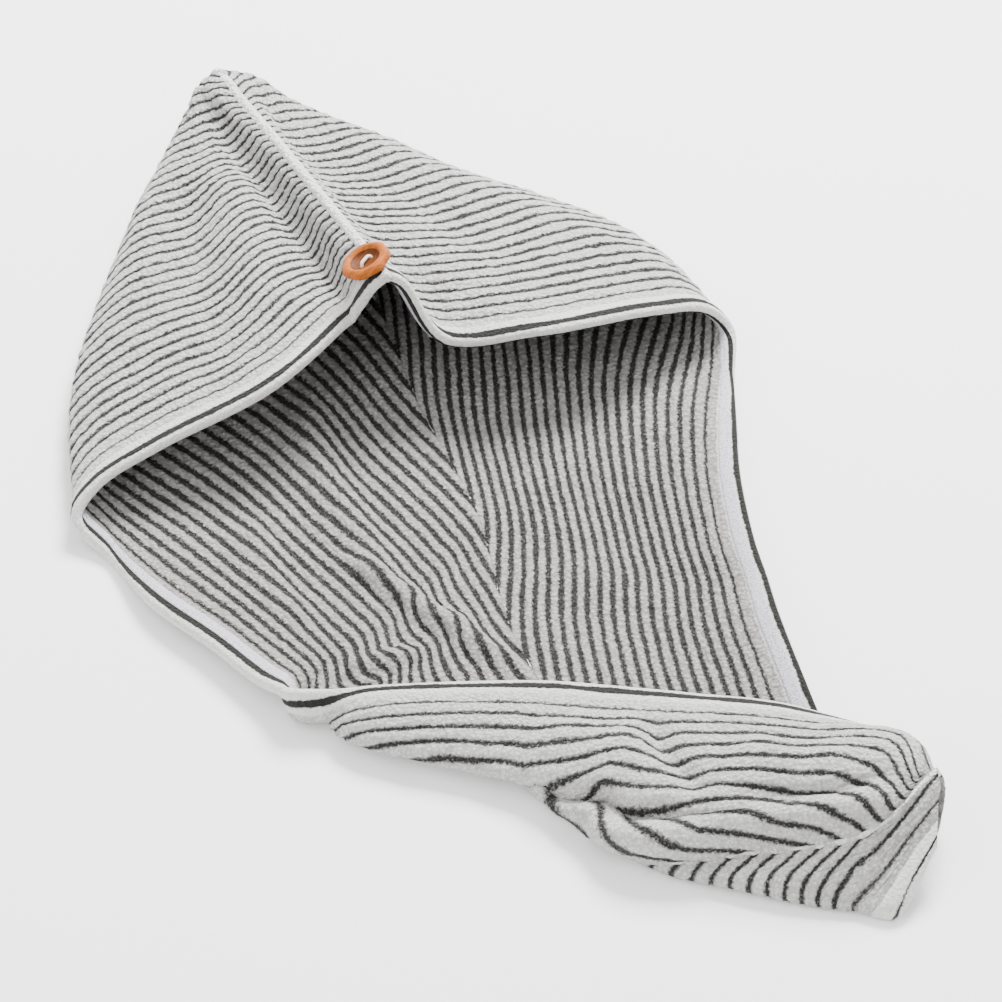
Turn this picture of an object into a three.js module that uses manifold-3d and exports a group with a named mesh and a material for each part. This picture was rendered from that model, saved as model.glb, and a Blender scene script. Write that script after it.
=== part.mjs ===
// A hair turban towel of striped pile cloth, lying on the floor with its hood open.
// The hood's apex points to +Y, its mouth opens towards -Y, and the tail is folded
// over and twisted towards +X. Lengths are in millimetres and the floor is z = 0.

import * as THREE from "three";
import { mergeVertices } from "three/addons/utils/BufferGeometryUtils.js";
import Module from "manifold-3d";

const wasm = await Module();
wasm.setup();

// Size of the whole towel as it lies
const LENGTH = 601;
const HALF_WIDTH = 151;
const RIDGE_HEIGHT = 68;

// Cloth, hem and seam
const WALL = 3;
const HEM_WALL = 3.6;
const HEM_WIDTH = 12;
const HEM_ROUNDING = 1.6;
const SEAM_WIDTH = 2.4;
const SEAM_WALL = 2.4;
const TAPE_WIDTH = 7;
const TAPE_WALL = 0.8;
const TAPE_INSET = 3;
const NOSE_RADIUS = 13;
const GAP = 0.3;
const LEAST_GAP = 0.25;

// Button and fastening loop
const BUTTON_DIAMETER = 24;
const BUTTON_THICKNESS = 4.5;
const BUTTON_DISH = 1.4;
const BUTTON_RIM = 4.6;
const BUTTON_HOLE = 2.6;
const BUTTON_HOLE_SPACING = 6;
const BUTTON_SETBACK = 11;
const BUTTON_LEAN = [-0.38, 0.18, 0.905];
const BUTTON_TURN = 0.5;
const THREAD_DIAMETER = 1.6;
const LOOP_CORD = 2.4;
const LOOP_LENGTH = 34;
const LOOP_WIDTH = 13;
const LOOP_PLACE = { x: 0.56, back: 0.905 };
const LOOP_TURN = -0.65;

// How finely the cloth is drawn
const RIB_SPACING = 17;
const MIN_STEPS = 2;
const FRONT_STEPS = 5;
const MIDDLE_STEPS = 4;
const BACK_STEPS = 3;
const SIDES = 24;
const CORD_SIDES = 8;
const THREAD_STEPS = 20;
const RIB_DIVISIONS = 80;

// Seam line, one row for each rib: x as a share of HALF_WIDTH, back from the apex
// as a share of LENGTH, and up as a share of RIDGE_HEIGHT.
const SEAM_LINE = [
  { rib: "ridge", x: 0.01, back: 0.014, up: 0.375 },
  { rib: "ridge flank", x: 0.01, back: 0.008, up: 0.35 },
  { rib: "ridge foot", x: 0.01, back: 0.004, up: 0.32 },
  { rib: "front", x: 0.01, back: 0, up: 0.28 },
  { rib: "front low", x: 0.01, back: 0, up: 0.24 },
  { rib: "fold top", x: 0.01, back: 0, up: 0.2 },
  { rib: "side fold", x: 0.01, back: 0.001, up: 0.15 },
  { rib: "under fold", x: 0.015, back: 0.021, up: 0.03 },
  { rib: "back high", x: 0.146, back: 0.212, up: 0.02 },
  { rib: "back middle", x: 0.1, back: 0.368, up: 0.02 },
  { rib: "back low", x: 0.09, back: 0.495, up: 0.02 },
  { rib: "upright", x: 0.056, back: 0.552, up: 0.02 },
  { rib: "turn over", x: 0.01, back: 0.618, up: 0.02 },
  { rib: "band", x: 0, back: 0.707, up: 0.02 },
  { rib: "roll", x: -0.022, back: 0.795, up: 0.04 },
  { rib: "wrist", x: -0.006, back: 0.888, up: 0.08 },
  { rib: "twist", x: 0.287, back: 0.926, up: 0.19 },
  { rib: "tail", x: 0.562, back: 0.952, up: 0.34 },
  { rib: "tail end", x: 0.837, back: 0.919, up: 0.44 },
];

// Hood ribs run from the hem to the seam. near and middle are their heights a third
// and two thirds of the way in, as shares of RIDGE_HEIGHT, and nearOut and middleOut
// are how far they stand out sideways there, as shares of HALF_WIDTH.
const LEFT_HOOD = [
  { rib: "ridge", x: 0.034, back: 0.352, up: 1, near: 0.79, middle: 0.585, nearOut: 0, middleOut: 0 },
  { rib: "ridge flank", x: -0.006, back: 0.351, up: 0.925, near: 0.73, middle: 0.54, nearOut: 0, middleOut: 0.01 },
  { rib: "ridge foot", x: -0.06, back: 0.349, up: 0.74, near: 0.58, middle: 0.42, nearOut: 0, middleOut: 0.02 },
  { rib: "front", x: -0.365, back: 0.392, up: 0.625, near: 0.58, middle: 0.42, nearOut: 0.02, middleOut: 0.05 },
  { rib: "front low", x: -0.73, back: 0.399, up: 0.4, near: 0.38, middle: 0.32, nearOut: 0.07, middleOut: 0.08 },
  { rib: "fold top", x: -0.92, back: 0.41, up: 0.29, near: 0.26, middle: 0.24, nearOut: 0.12, middleOut: 0.11 },
  { rib: "side fold", x: -1, back: 0.424, up: 0.16, near: 0.14, middle: 0.13, nearOut: 0.145, middleOut: 0.13 },
  { rib: "under fold", x: -0.95, back: 0.455, up: 0.05, near: 0.03, middle: 0.03, nearOut: 0.12, middleOut: 0.11 },
  { rib: "back high", x: -0.916, back: 0.523, up: 0.12, near: 0.03, middle: 0.02, nearOut: 0, middleOut: 0 },
  { rib: "back middle", x: -0.826, back: 0.58, up: 0.14, near: 0.03, middle: 0.02, nearOut: 0, middleOut: 0 },
  { rib: "back low", x: -0.745, back: 0.64, up: 0.18, near: 0.03, middle: 0.02, nearOut: 0, middleOut: 0 },
];
const RIGHT_HOOD = [
  { rib: "ridge", x: 0.034, back: 0.352, up: 1, near: 0.79, middle: 0.585, nearOut: 0, middleOut: 0 },
  { rib: "ridge flank", x: 0.079, back: 0.354, up: 0.925, near: 0.74, middle: 0.545, nearOut: 0, middleOut: 0.01 },
  { rib: "ridge foot", x: 0.169, back: 0.378, up: 0.575, near: 0.58, middle: 0.44, nearOut: 0, middleOut: 0.02 },
  { rib: "front", x: 0.42, back: 0.402, up: 0.64, near: 0.56, middle: 0.42, nearOut: 0.05, middleOut: 0.05 },
  { rib: "front low", x: 0.787, back: 0.393, up: 0.52, near: 0.42, middle: 0.33, nearOut: 0.12, middleOut: 0.08 },
  { rib: "fold top", x: 0.945, back: 0.391, up: 0.42, near: 0.31, middle: 0.25, nearOut: 0.2, middleOut: 0.12 },
  { rib: "side fold", x: 1, back: 0.4, up: 0.28, near: 0.17, middle: 0.15, nearOut: 0.24, middleOut: 0.14 },
  { rib: "under fold", x: 0.955, back: 0.435, up: 0.19, near: 0.04, middle: 0.03, nearOut: 0.2, middleOut: 0.12 },
  { rib: "back high", x: 0.876, back: 0.495, up: 0.25, near: 0.06, middle: 0.02, nearOut: 0, middleOut: 0 },
  { rib: "back middle", x: 0.803, back: 0.552, up: 0.275, near: 0.07, middle: 0.02, nearOut: 0, middleOut: 0 },
  { rib: "back low", x: 0.742, back: 0.622, up: 0.275, near: 0.07, middle: 0.02, nearOut: 0, middleOut: 0 },
];

// Tail ribs curl round the tail. Each has its hem and three points on the way to the
// seam, as x, back and up in the same shares.
const LEFT_TAIL = [
  { rib: "upright", hem: [-0.7, 0.662, 0.28], near: [-0.68, 0.665, 0.05], middle: [-0.55, 0.65, 0.03], far: [-0.3, 0.61, 0.02] },
  { rib: "turn over", hem: [-0.472, 0.676, 0.25], near: [-0.545, 0.69, 0.23], middle: [-0.6, 0.699, 0.12], far: [-0.5, 0.682, 0.02] },
  { rib: "band", hem: [-0.034, 0.711, 0.25], near: [-0.169, 0.76, 0.28], middle: [-0.24, 0.785, 0.14], far: [-0.16, 0.762, 0.02] },
  { rib: "roll", hem: [0.152, 0.74, 0.29], near: [-0.05, 0.812, 0.34], middle: [-0.14, 0.836, 0.16], far: [-0.09, 0.822, 0.03] },
  { rib: "wrist", hem: [0.326, 0.769, 0.325], near: [0.169, 0.818, 0.42], middle: [0.022, 0.861, 0.36], far: [-0.045, 0.884, 0.2] },
  { rib: "twist", hem: [0.59, 0.8175, 0.375], near: [0.494, 0.852, 0.5], middle: [0.382, 0.892, 0.48], far: [0.303, 0.918, 0.33] },
  { rib: "tail", hem: [0.854, 0.86, 0.1], near: [0.832, 0.873, 0.375], middle: [0.742, 0.901, 0.54], far: [0.629, 0.935, 0.48] },
  { rib: "tail end", hem: [0.753, 0.953, 0.03], near: [0.83, 0.93, 0.1], middle: [0.86, 0.915, 0.225], far: [0.86, 0.909, 0.35] },
];
const RIGHT_TAIL = [
  { rib: "upright", hem: [0.72, 0.662, 0.275], near: [0.534, 0.628, 0.08], middle: [0.309, 0.591, 0.02], far: [0.14, 0.566, 0.02] },
  { rib: "turn over", hem: [0.697, 0.7, 0.27], near: [0.494, 0.675, 0.08], middle: [0.258, 0.644, 0.02], far: [0.09, 0.625, 0.02] },
  { rib: "band", hem: [0.674, 0.771, 0.21], near: [0.472, 0.753, 0.06], middle: [0.236, 0.73, 0.02], far: [0.084, 0.716, 0.02] },
  { rib: "roll", hem: [0.669, 0.8, 0.16], near: [0.472, 0.796, 0.05], middle: [0.236, 0.795, 0.02], far: [0.067, 0.795, 0.03] },
  { rib: "wrist", hem: [0.663, 0.827, 0.125], near: [0.478, 0.852, 0.02], middle: [0.236, 0.883, 0.02], far: [0.056, 0.897, 0.03] },
  { rib: "twist", hem: [0.674, 0.905, 0.03], near: [0.517, 0.934, 0.02], middle: [0.337, 0.956, 0.02], far: [0.258, 0.946, 0.115] },
  { rib: "tail", hem: [0.607, 1, 0.03], near: [0.56, 0.999, 0.05], middle: [0.523, 0.985, 0.1], far: [0.522, 0.967, 0.22] },
  { rib: "tail end", hem: [0.758, 0.97, 0.25], near: [0.775, 0.96, 0.3], middle: [0.803, 0.943, 0.375], far: [0.826, 0.931, 0.425] },
];

// How far each rib starts sideways from the seam at the rounded apex
const NOSE_SHARES = [0, 0.35, 0.6, 0.9, 1, 1, 1, 1];
const SHOULDER_SHARE = 0.3;

const LEFT = -1;
const RIGHT = 1;
const SEAM_CLEARANCE = SEAM_WIDTH / 2 + GAP;
const LAST_RIB = SEAM_LINE.length - 1;
const FIRST_ROLLED_RIB = 15;
const FIRST_TAPE_RIB = 1;
const LAST_TAPE_RIB = { left: 11, right: 12.5 };
const FRONT_STATION = 3;
const SIDEWAYS = new THREE.Vector3(1, 0, 0);

const place = (x, back, up) => new THREE.Vector3(
  x * HALF_WIDTH,
  -back * LENGTH,
  Math.max(up * RIDGE_HEIGHT, WALL / 2),
);

const seamPoint = (row) => place(row.x, row.back, row.up);

// Hem, seam and the points between them of one rib of a panel
function ribPoints(side, hood, tail, index) {
  const seam = seamPoint(SEAM_LINE[index]);
  if (index >= hood.length) {
    const row = tail[index - hood.length];
    return {
      hem: place(...row.hem),
      near: place(...row.near),
      middle: place(...row.middle),
      far: place(...row.far),
      seam,
    };
  }
  const row = hood[index];
  const hem = place(row.x, row.back, row.up);
  const near = hem.clone().lerp(seam, 1 / 3);
  const middle = hem.clone().lerp(seam, 2 / 3);
  near.x += side * row.nearOut * HALF_WIDTH;
  middle.x += side * row.middleOut * HALF_WIDTH;
  near.z = Math.max(row.near * RIDGE_HEIGHT, WALL / 2);
  middle.z = Math.max(row.middle * RIDGE_HEIGHT, WALL / 2);
  const far = seam.clone().lerp(middle, SHOULDER_SHARE);
  if (index < NOSE_SHARES.length) {
    const reach = NOSE_RADIUS * NOSE_SHARES[index];
    far.set(seam.x + side * reach, seam.y - reach / 2 - NOSE_RADIUS / 4, seam.z);
  }
  return { hem, near, middle, far, seam };
}

// Direction in which a panel's edge is held back from the seam line
function seamSide(side, index, rib) {
  if (index < FIRST_ROLLED_RIB) {
    return SIDEWAYS.clone().multiplyScalar(side);
  }
  const before = seamPoint(SEAM_LINE[index - 1]);
  const after = seamPoint(SEAM_LINE[Math.min(index + 1, LAST_RIB)]);
  const along = after.sub(before).normalize();
  const inward = rib.far.clone().sub(rib.seam);
  return inward.addScaledVector(along, -inward.dot(along)).normalize();
}

// The five lines that run along a panel, through the same point of every rib
function panelRails(side, hood, tail) {
  const lines = { hem: [], near: [], middle: [], far: [], seam: [] };
  for (let index = 0; index <= LAST_RIB; index += 1) {
    const rib = ribPoints(side, hood, tail, index);
    const heldBack = seamSide(side, index, rib).multiplyScalar(SEAM_CLEARANCE);
    rib.seam.add(heldBack);
    if (index === 0) {
      [rib.hem, rib.near, rib.middle, rib.far].forEach((point) => point.add(heldBack));
    }
    Object.keys(lines).forEach((line) => lines[line].push(rib[line]));
  }
  return Object.values(lines).map((points) => new THREE.CatmullRomCurve3(points));
}

// Where the ribs are drawn: closer together where the cloth is longer between rows
function ribStations(rails) {
  const stations = [0];
  for (let index = 0; index < LAST_RIB; index += 1) {
    const spans = rails.flat().map((rail) => (
      rail.points[index].distanceTo(rail.points[index + 1])
    ));
    const steps = Math.max(MIN_STEPS, Math.round(Math.max(...spans) / RIB_SPACING));
    for (let step = 1; step <= steps; step += 1) {
      stations.push(index + step / steps);
    }
  }
  return stations;
}

// Columns of the cloth grid, counted from the hem's edge
const HEM_STATIONS = [0, TAPE_INSET, TAPE_INSET + TAPE_WIDTH, HEM_WIDTH, HEM_WIDTH + GAP];
const TAPE_START = 1;
const TAPE_END = 2;
const HEM_END = 3;
const PANEL_START = 4;
const PANEL_END = PANEL_START + FRONT_STEPS + MIDDLE_STEPS + BACK_STEPS;
const MIDDLE_RAIL = 0.5;
const FAR_RAIL = 0.75;

// Points of one rib: at set distances near the hem, then in even steps between the
// hem, the middle rail, the far rail and the seam
function clothPoints(rib) {
  const length = rib.getLength();
  const hem = HEM_STATIONS.map((distance) => rib.getPointAt(distance / length));
  const shares = [];
  const steps = (start, end, count) => {
    for (let step = 1; step <= count; step += 1) {
      shares.push(start + (end - start) * step / count);
    }
  };
  steps(rib.getUtoTmapping(HEM_STATIONS[PANEL_START] / length), MIDDLE_RAIL, FRONT_STEPS);
  steps(MIDDLE_RAIL, FAR_RAIL, MIDDLE_STEPS);
  steps(FAR_RAIL, 1, BACK_STEPS);
  return [...hem, ...shares.map((share) => rib.getPoint(share))];
}

// Middle surface of one half of the cloth: a grid of points, and of normals that
// point out of its outer face. The hem and the panel share a normal where they meet.
function clothGrid(rails, stations) {
  const points = stations.map((station) => {
    const share = station / LAST_RIB;
    const rib = new THREE.CatmullRomCurve3(rails.map((rail) => rail.getPoint(share)));
    rib.arcLengthDivisions = RIB_DIVISIONS;
    return clothPoints(rib).map((point) => {
      point.z = Math.max(point.z, WALL / 2);
      return point;
    });
  });
  const normals = gridNormals(points);
  normals.forEach((row) => {
    row[HEM_END].add(row[PANEL_START]).normalize();
    row[PANEL_START].copy(row[HEM_END]);
  });
  if (normals[FRONT_STATION][PANEL_END - 1].z < 0) {
    normals.forEach((row) => row.forEach((normal) => normal.negate()));
  }
  return { points, normals };
}

// Normals of the grid, each the average of its faces weighed by area
function gridNormals(points) {
  const normals = points.map((row) => row.map(() => new THREE.Vector3()));
  for (let i = 0; i < points.length - 1; i += 1) {
    for (let j = 0; j < points[i].length - 1; j += 1) {
      const across = points[i + 1][j + 1].clone().sub(points[i][j]);
      const along = points[i][j + 1].clone().sub(points[i + 1][j]);
      const face = across.cross(along);
      normals[i][j].add(face);
      normals[i + 1][j].add(face);
      normals[i][j + 1].add(face);
      normals[i + 1][j + 1].add(face);
    }
  }
  normals.forEach((row) => row.forEach((normal) => normal.normalize()));
  return normals;
}

const onFloor = (point) => {
  point.z = Math.max(point.z, 0);
  return point;
};

// Turns a closed shell the right way out and makes its geometry
function shellGeometry(vertices, faces) {
  let volume = 0;
  for (const [a, b, c] of faces) {
    volume += vertices[a].dot(vertices[b].clone().cross(vertices[c]));
  }
  const index = faces.flatMap(([a, b, c]) => (volume > 0 ? [a, b, c] : [a, c, b]));
  const geometry = new THREE.BufferGeometry();
  geometry.setFromPoints(vertices);
  geometry.setIndex(index);
  return geometry;
}

// A closed shell through rings of points, with its two ends filled
function ringShell(rings) {
  const count = rings[0].length;
  const vertices = rings.flat();
  const faces = [];
  for (let i = 0; i < rings.length - 1; i += 1) {
    for (let j = 0; j < count; j += 1) {
      const a = i * count + j;
      const b = i * count + (j + 1) % count;
      faces.push([a, b, b + count], [a, b + count, a + count]);
    }
  }
  return { vertices, faces, count };
}

// Solid strip of cloth between two columns of the grid. Its section is a ring:
// up the outer face, round the edge and back down the inner face.
function clothSolid(grid, { from, to, first = 0, last = grid.points.length - 1, wall, offset = 0, rounding = 0 }) {
  const rings = [];
  for (let i = first; i <= last; i += 1) {
    const outer = [];
    const inner = [];
    for (let j = from; j <= to; j += 1) {
      const point = grid.points[i][j];
      const normal = grid.normals[i][j];
      outer.push(onFloor(point.clone().addScaledVector(normal, offset + wall / 2)));
      inner.push(onFloor(point.clone().addScaledVector(normal, offset - wall / 2)));
    }
    if (rounding > 0) {
      const outward = grid.points[i][from].clone().sub(grid.points[i][from + 1]).normalize();
      const edge = grid.points[i][from].clone();
      outer[0].addScaledVector(grid.normals[i][from], -wall / 5);
      inner[0].addScaledVector(grid.normals[i][from], wall / 5);
      onFloor(outer[0]);
      onFloor(inner[0]);
      inner.unshift(onFloor(edge.addScaledVector(outward, rounding)));
    }
    rings.push([...outer.reverse(), ...inner]);
  }
  const { vertices, faces, count } = ringShell(rings);
  const steps = to - from;
  const pointsInside = count - (steps + 1);
  const capEnd = (start, flip) => {
    for (let j = 0; j < steps; j += 1) {
      const outerA = start + steps - j;
      const outerB = start + steps - j - 1;
      const innerA = start + steps + (pointsInside - steps) + j;
      const innerB = innerA + 1;
      const quad = [[outerA, outerB, innerB], [outerA, innerB, innerA]];
      faces.push(...quad.map(([a, b, c]) => (flip ? [a, c, b] : [a, b, c])));
    }
    if (rounding > 0) {
      const tip = start + steps + 1;
      const triangle = [start + steps, tip + 1, tip];
      faces.push(flip ? [triangle[0], triangle[2], triangle[1]] : triangle);
    }
  };
  capEnd(0, false);
  capEnd((rings.length - 1) * count, true);
  return shellGeometry(vertices, faces);
}

const railsOf = {
  left: panelRails(LEFT, LEFT_HOOD, LEFT_TAIL),
  right: panelRails(RIGHT, RIGHT_HOOD, RIGHT_TAIL),
};
const stations = ribStations([railsOf.left, railsOf.right]);
const leftCloth = clothGrid(railsOf.left, stations);
const rightCloth = clothGrid(railsOf.right, stations);

// Grid places along the seam: down the ridge, round the apex, along the floor and up
// the tail
const seamPlaces = [];
for (let j = 0; j <= PANEL_END; j += 1) {
  seamPlaces.push([0, j]);
}
for (let i = 1; i < stations.length; i += 1) {
  seamPlaces.push([i, PANEL_END]);
}

// Both panels' edges stand square to the seam, so their normals there are the same
const seamFrames = seamPlaces.map(([i, j]) => {
  const a = leftCloth.points[i][j];
  const b = rightCloth.points[i][j];
  const middle = a.clone().add(b).multiplyScalar(0.5);
  const across = b.clone().sub(a).normalize();
  const up = rightCloth.normals[i][j].clone().add(leftCloth.normals[i][j]);
  up.addScaledVector(across, -up.dot(across)).normalize();
  leftCloth.normals[i][j].copy(up);
  rightCloth.normals[i][j].copy(up);
  return { middle, across, up };
});

// Strip sewn between the two panels
function seamStrip(width, wall) {
  const rings = seamFrames.slice(PANEL_START).map(({ middle, across, up }) => {
    const corner = (w, h) => onFloor(middle.clone()
      .addScaledVector(across, w * width / 2)
      .addScaledVector(up, h * wall / 2));
    return [corner(-1, 1), corner(1, 1), corner(1, -1), corner(-1, -1)];
  });
  const { vertices, faces, count } = ringShell(rings);
  const end = (rings.length - 1) * count;
  faces.push([0, 2, 1], [0, 3, 2], [end, end + 1, end + 2], [end, end + 2, end + 3]);
  return shellGeometry(vertices, faces);
}

// Flat tape sewn inside the hem
function tapeSolid(grid, lastRib) {
  return clothSolid(grid, {
    from: TAPE_START,
    to: TAPE_END,
    first: stations.indexOf(FIRST_TAPE_RIB),
    last: stations.findLastIndex((station) => station <= lastRib),
    wall: TAPE_WALL,
    offset: -(HEM_WALL / 2 + GAP + TAPE_WALL / 2),
  });
}

// Merges a closed geometry's shared corners and makes it a solid that can be cut
function toSolid(geometry) {
  geometry.deleteAttribute("normal");
  geometry.deleteAttribute("uv");
  const merged = mergeVertices(geometry, 1e-4);
  return new wasm.Manifold(new wasm.Mesh({
    numProp: 3,
    vertProperties: new Float32Array(merged.attributes.position.array),
    triVerts: new Uint32Array(merged.index.array),
  }));
}

function toGeometry(solid) {
  const mesh = solid.getMesh();
  const geometry = new THREE.BufferGeometry();
  geometry.setAttribute("position", new THREE.BufferAttribute(mesh.vertProperties, 3));
  geometry.setIndex(new THREE.BufferAttribute(mesh.triVerts, 1));
  return geometry;
}

// One half of the cloth, trimmed where a tight fold brings it too near the hem or seam
function panelSolid(grid) {
  const sheet = toSolid(clothSolid(grid, { from: PANEL_START, to: PANEL_END, wall: WALL }));
  const hemRoom = toSolid(clothSolid(grid, {
    from: 0,
    to: HEM_END,
    wall: HEM_WALL + 2 * LEAST_GAP,
    rounding: HEM_ROUNDING,
  }));
  const seamRoom = toSolid(seamStrip(SEAM_WIDTH + 2 * LEAST_GAP, SEAM_WALL + 2 * LEAST_GAP));
  const trimmed = sheet.subtract(hemRoom).subtract(seamRoom).decompose();
  trimmed.sort((a, b) => b.volume() - a.volume());
  return toGeometry(trimmed[0]);
}

// Dished button with a raised round rim and two holes, its axis along Z
function buttonGeometry() {
  const radius = BUTTON_DIAMETER / 2;
  const half = BUTTON_THICKNESS / 2;
  const dishRadius = radius - BUTTON_RIM;
  const section = [
    [0, -half], [radius - half, -half], [radius - half * 0.3, -half * 0.7], [radius, 0],
    [radius - half * 0.3, half * 0.7], [radius - half, half], [dishRadius + BUTTON_DISH / 2, half * 0.8],
    [dishRadius, half - BUTTON_DISH], [0, half - BUTTON_DISH],
  ];
  const disc = new THREE.LatheGeometry(section.map(([x, y]) => new THREE.Vector2(x, y)), SIDES);
  disc.rotateX(Math.PI / 2);
  let button = toSolid(disc);
  for (const side of [LEFT, RIGHT]) {
    const drill = new THREE.CylinderGeometry(BUTTON_HOLE / 2, BUTTON_HOLE / 2, 2 * BUTTON_THICKNESS, SIDES / 2);
    drill.rotateX(Math.PI / 2);
    drill.translate(side * BUTTON_HOLE_SPACING / 2, 0, 0);
    button = button.subtract(toSolid(drill));
  }
  return toGeometry(button);
}

const roundSection = (diameter, sides) => new THREE.Shape(
  Array.from({ length: sides }, (_, i) => {
    const angle = 2 * Math.PI * i / sides;
    return new THREE.Vector2(Math.cos(angle), Math.sin(angle)).multiplyScalar(diameter / 2);
  }),
);

// Thread that comes up through one hole, crosses the dish and goes down the other
function threadGeometry() {
  const x = BUTTON_HOLE_SPACING / 2;
  const top = BUTTON_THICKNESS / 2 - BUTTON_DISH + THREAD_DIAMETER / 2 + GAP;
  const bottom = -BUTTON_THICKNESS / 2;
  const path = new THREE.CatmullRomCurve3([
    new THREE.Vector3(-x, 0, bottom),
    new THREE.Vector3(-x, 0, top - THREAD_DIAMETER),
    new THREE.Vector3(-x / 2, 0, top + GAP),
    new THREE.Vector3(x / 2, 0, top + GAP),
    new THREE.Vector3(x, 0, top - THREAD_DIAMETER),
    new THREE.Vector3(x, 0, bottom),
  ]);
  const section = roundSection(THREAD_DIAMETER, CORD_SIDES);
  return new THREE.ExtrudeGeometry(section, { extrudePath: path, steps: THREAD_STEPS });
}

// Closed loop of elastic cord: a ring drawn out into two straight runs
function loopGeometry() {
  const radius = (LOOP_WIDTH - LOOP_CORD) / 2;
  const geometry = new THREE.TorusGeometry(radius, LOOP_CORD / 2, CORD_SIDES, SIDES);
  geometry.rotateZ(Math.PI / SIDES);
  const stretch = (LOOP_LENGTH - LOOP_WIDTH) / 2;
  const position = geometry.attributes.position;
  for (let i = 0; i < position.count; i += 1) {
    position.setX(i, position.getX(i) + Math.sign(position.getX(i)) * stretch);
  }
  return toGeometry(toSolid(geometry));
}

const pileMaterial = (color) => new THREE.MeshStandardMaterial({ color, roughness: 0.95, metalness: 0 });
const towel = new THREE.Group();

function addPiece(name, geometry, material) {
  const piece = new THREE.Mesh(geometry, material);
  piece.name = name;
  towel.add(piece);
  return piece;
}

const hem = { from: 0, to: HEM_END, wall: HEM_WALL, rounding: HEM_ROUNDING };
addPiece("panel_left", panelSolid(leftCloth), pileMaterial("#c9c7c3"));
addPiece("panel_right", panelSolid(rightCloth), pileMaterial("#c9c7c3"));
addPiece("hem_left", clothSolid(leftCloth, hem), pileMaterial("#e1deda"));
addPiece("hem_right", clothSolid(rightCloth, hem), pileMaterial("#e1deda"));
addPiece("hem_tape_left", tapeSolid(leftCloth, LAST_TAPE_RIB.left), pileMaterial("#e0dde8"));
addPiece("hem_tape_right", tapeSolid(rightCloth, LAST_TAPE_RIB.right), pileMaterial("#e0dde8"));
addPiece("crown_seam", seamStrip(SEAM_WIDTH, SEAM_WALL), pileMaterial("#d8d5d1"));

// The button sits on the ridge's crest, leaning to the left with the cloth
const ridge = new THREE.CatmullRomCurve3(railsOf.left.map((rail) => rail.points[0]));
const crest = ridge.getPointAt(BUTTON_SETBACK / ridge.getLength());
crest.x += SEAM_CLEARANCE;
const buttonNormal = new THREE.Vector3(...BUTTON_LEAN).normalize();
const lift = HEM_WALL / 2 + 2 * GAP + BUTTON_THICKNESS / 2;
const buttonPlace = crest.clone().addScaledVector(buttonNormal, lift);
const upright = new THREE.Quaternion().setFromUnitVectors(new THREE.Vector3(0, 0, 1), buttonNormal);
const turn = new THREE.Quaternion().setFromAxisAngle(new THREE.Vector3(0, 0, 1), BUTTON_TURN);

const button = addPiece("button", buttonGeometry(),
  new THREE.MeshStandardMaterial({ color: "#d97a3a", roughness: 0.35, metalness: 0 }));
const thread = addPiece("button_thread", threadGeometry(),
  new THREE.MeshStandardMaterial({ color: "#f1e3cf", roughness: 0.8, metalness: 0 }));
for (const piece of [button, thread]) {
  piece.position.copy(buttonPlace);
  piece.quaternion.copy(upright).multiply(turn);
}

// The loop that goes over the button lies tucked inside the tail's end
const loop = addPiece("fastening_loop", loopGeometry(),
  new THREE.MeshStandardMaterial({ color: "#e9e6e1", roughness: 0.7, metalness: 0 }));
loop.position.copy(place(LOOP_PLACE.x, LOOP_PLACE.back, 0));
loop.position.z = HEM_WALL + 3 * GAP + LOOP_CORD / 2;
loop.rotation.z = LOOP_TURN;

// The bottom's middle is the origin
towel.updateMatrixWorld(true);
const box = new THREE.Box3().setFromObject(towel, true);
const centre = box.getCenter(new THREE.Vector3());
towel.position.set(-centre.x, -centre.y, -box.min.z);

export default towel;
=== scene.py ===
"""Dresses a hair turban towel of striped pile cloth that lies with its hood open.

The towel is two halves of cloth. Each half is worked out as ribs that run from its hem
to the seam on the crown: the rib's points lie on lines that run along the towel from
the button's ridge, round the hood and down to the twisted tail.
"""

import math

import bmesh
import bpy
import numpy as np
from bpy.props import FloatProperty, FloatVectorProperty, PointerProperty
from mathutils import Matrix, Vector


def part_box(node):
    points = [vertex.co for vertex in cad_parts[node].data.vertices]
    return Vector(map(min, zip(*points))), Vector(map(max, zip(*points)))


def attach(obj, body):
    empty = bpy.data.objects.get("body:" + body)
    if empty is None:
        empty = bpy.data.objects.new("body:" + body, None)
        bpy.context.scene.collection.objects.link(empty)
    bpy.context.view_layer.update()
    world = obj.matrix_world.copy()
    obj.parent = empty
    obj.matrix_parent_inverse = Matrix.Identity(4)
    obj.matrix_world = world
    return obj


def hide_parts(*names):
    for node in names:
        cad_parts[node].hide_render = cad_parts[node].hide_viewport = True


bl_info = {
    "name": "Hair turban towel",
    "version": (1, 0, 0),
    "blender": (4, 5, 0),
    "location": "3D View > Sidebar > Towel",
    "description": "Makes a striped hair turban towel around its solid model",
    "category": "Object",
}

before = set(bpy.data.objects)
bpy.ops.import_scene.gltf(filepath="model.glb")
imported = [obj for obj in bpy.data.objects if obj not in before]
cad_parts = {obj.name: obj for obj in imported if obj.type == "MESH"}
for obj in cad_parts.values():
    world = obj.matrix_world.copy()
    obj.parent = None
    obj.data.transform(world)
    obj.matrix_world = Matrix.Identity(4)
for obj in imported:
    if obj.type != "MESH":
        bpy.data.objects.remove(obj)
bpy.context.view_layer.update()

# Size of the whole towel as it lies, and its cloth, in metres. CLOTH_REST is half of the
# pile's own thickness, the lowest that the middle of the cloth lies above the floor
LENGTH = 0.601
HALF_WIDTH = 0.151
RIDGE_HEIGHT = 0.068
WALL = 0.003
HEM_WALL = 0.0036
CLOTH_REST = 0.00225
GAP = 0.0003
NOSE_RADIUS = 0.013
LEFT = -1
RIGHT = 1
HALVES = ((LEFT, "left"), (RIGHT, "right"))

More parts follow.
